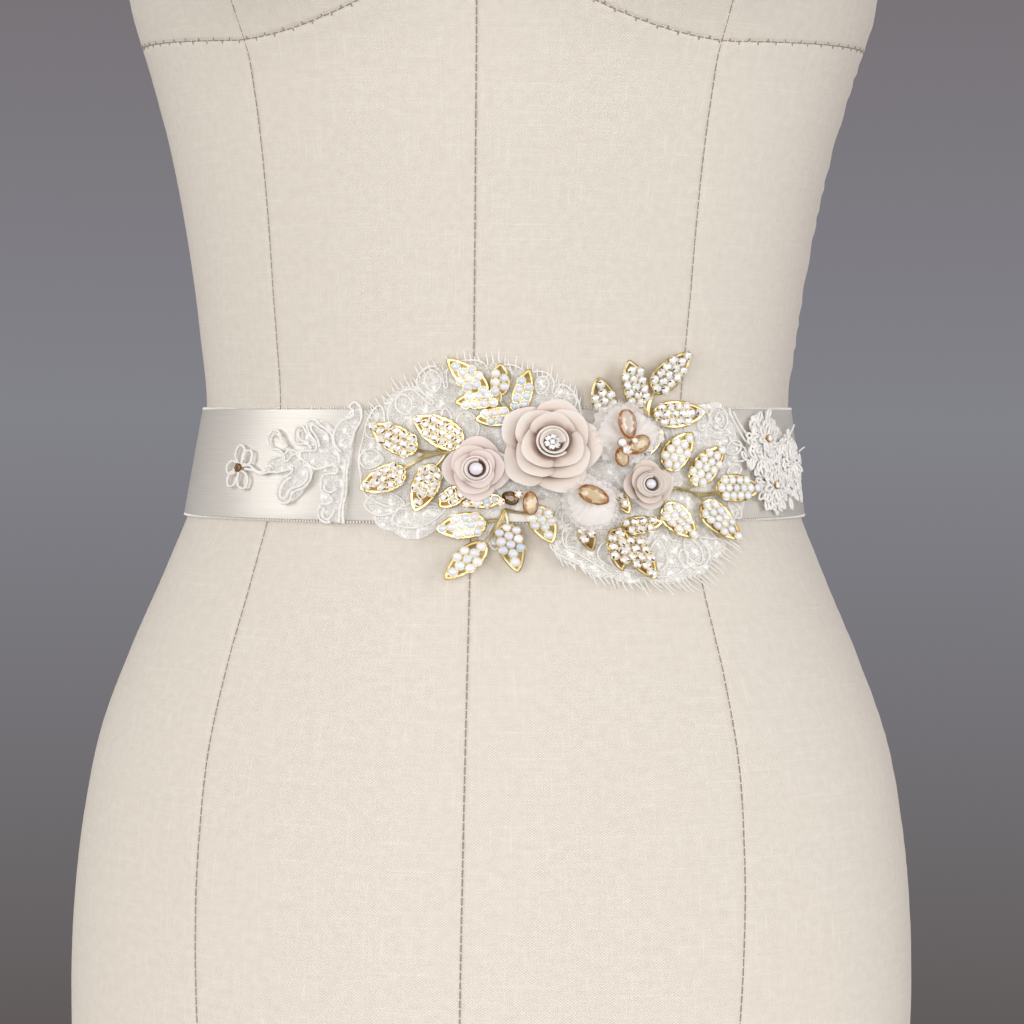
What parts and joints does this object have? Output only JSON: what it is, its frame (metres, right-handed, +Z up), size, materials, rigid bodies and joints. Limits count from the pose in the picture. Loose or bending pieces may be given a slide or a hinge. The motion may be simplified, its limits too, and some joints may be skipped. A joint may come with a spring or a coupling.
{
  "type": "bridal sash on a dress form",
  "caption": "Satin waist ribbon dressed with lace, eyelash fringe, clay roses, cast leaf sprays and glass drops, worn by a limbless dress form that stands on a flat board.",
  "frame": {"origin": "centre of the base board's underside", "axes": "+Z up, the sash's front facing -Y, +X to the viewer's right"},
  "size_m": [0.332, 0.28, 0.7683],
  "materials": {
    "form_cover": "natural linen-cotton cover, matt",
    "painted_wood": "cream satin paint",
    "satin_ribbon": "double-faced satin",
    "ivory_lace": "corded lace, matt",
    "air_clay": "air-dry clay, soft satin",
    "gilt_metal": "gold plate, cast",
    "glass": "faceted",
    "organza": "sheer, singed edge"
  },
  "bodies": {
    "root": {"form_body": "form_cover", "form_neck_cap": "painted_wood", "form_base": "painted_wood", "sash_ribbon": "satin_ribbon", "lace_upper": "ivory_lace", "lace_lower": "ivory_lace", "lace_left": "ivory_lace", "lace_right": "ivory_lace", "fringe_upper": "ivory_lace", "fringe_lower": "ivory_lace", "blossom_top": "ivory_lace", "blossom_low": "ivory_lace", "blossom_side": "ivory_lace", "spray_left": "gilt_metal", "spray_top": "gilt_metal", "spray_bottom": "gilt_metal", "spray_top_right": "gilt_metal", "spray_right": "gilt_metal", "spray_low_right": "gilt_metal", "leaf_behind": "gilt_metal", "leaf_under_rose": "gilt_metal", "leaf_opal": "gilt_metal", "leaf_beside": "gilt_metal", "leaf_low": "gilt_metal", "rose_big": "air_clay", "rose_mid": "air_clay", "rose_small": "air_clay", "organza_top": "organza", "organza_low": "organza", "drop_top": "glass", "drop_side": "glass", "drop_low": "glass", "drop_organza": "glass", "drop_dark": "glass", "drop_amber": "glass"}
  },
  "joints": []
}
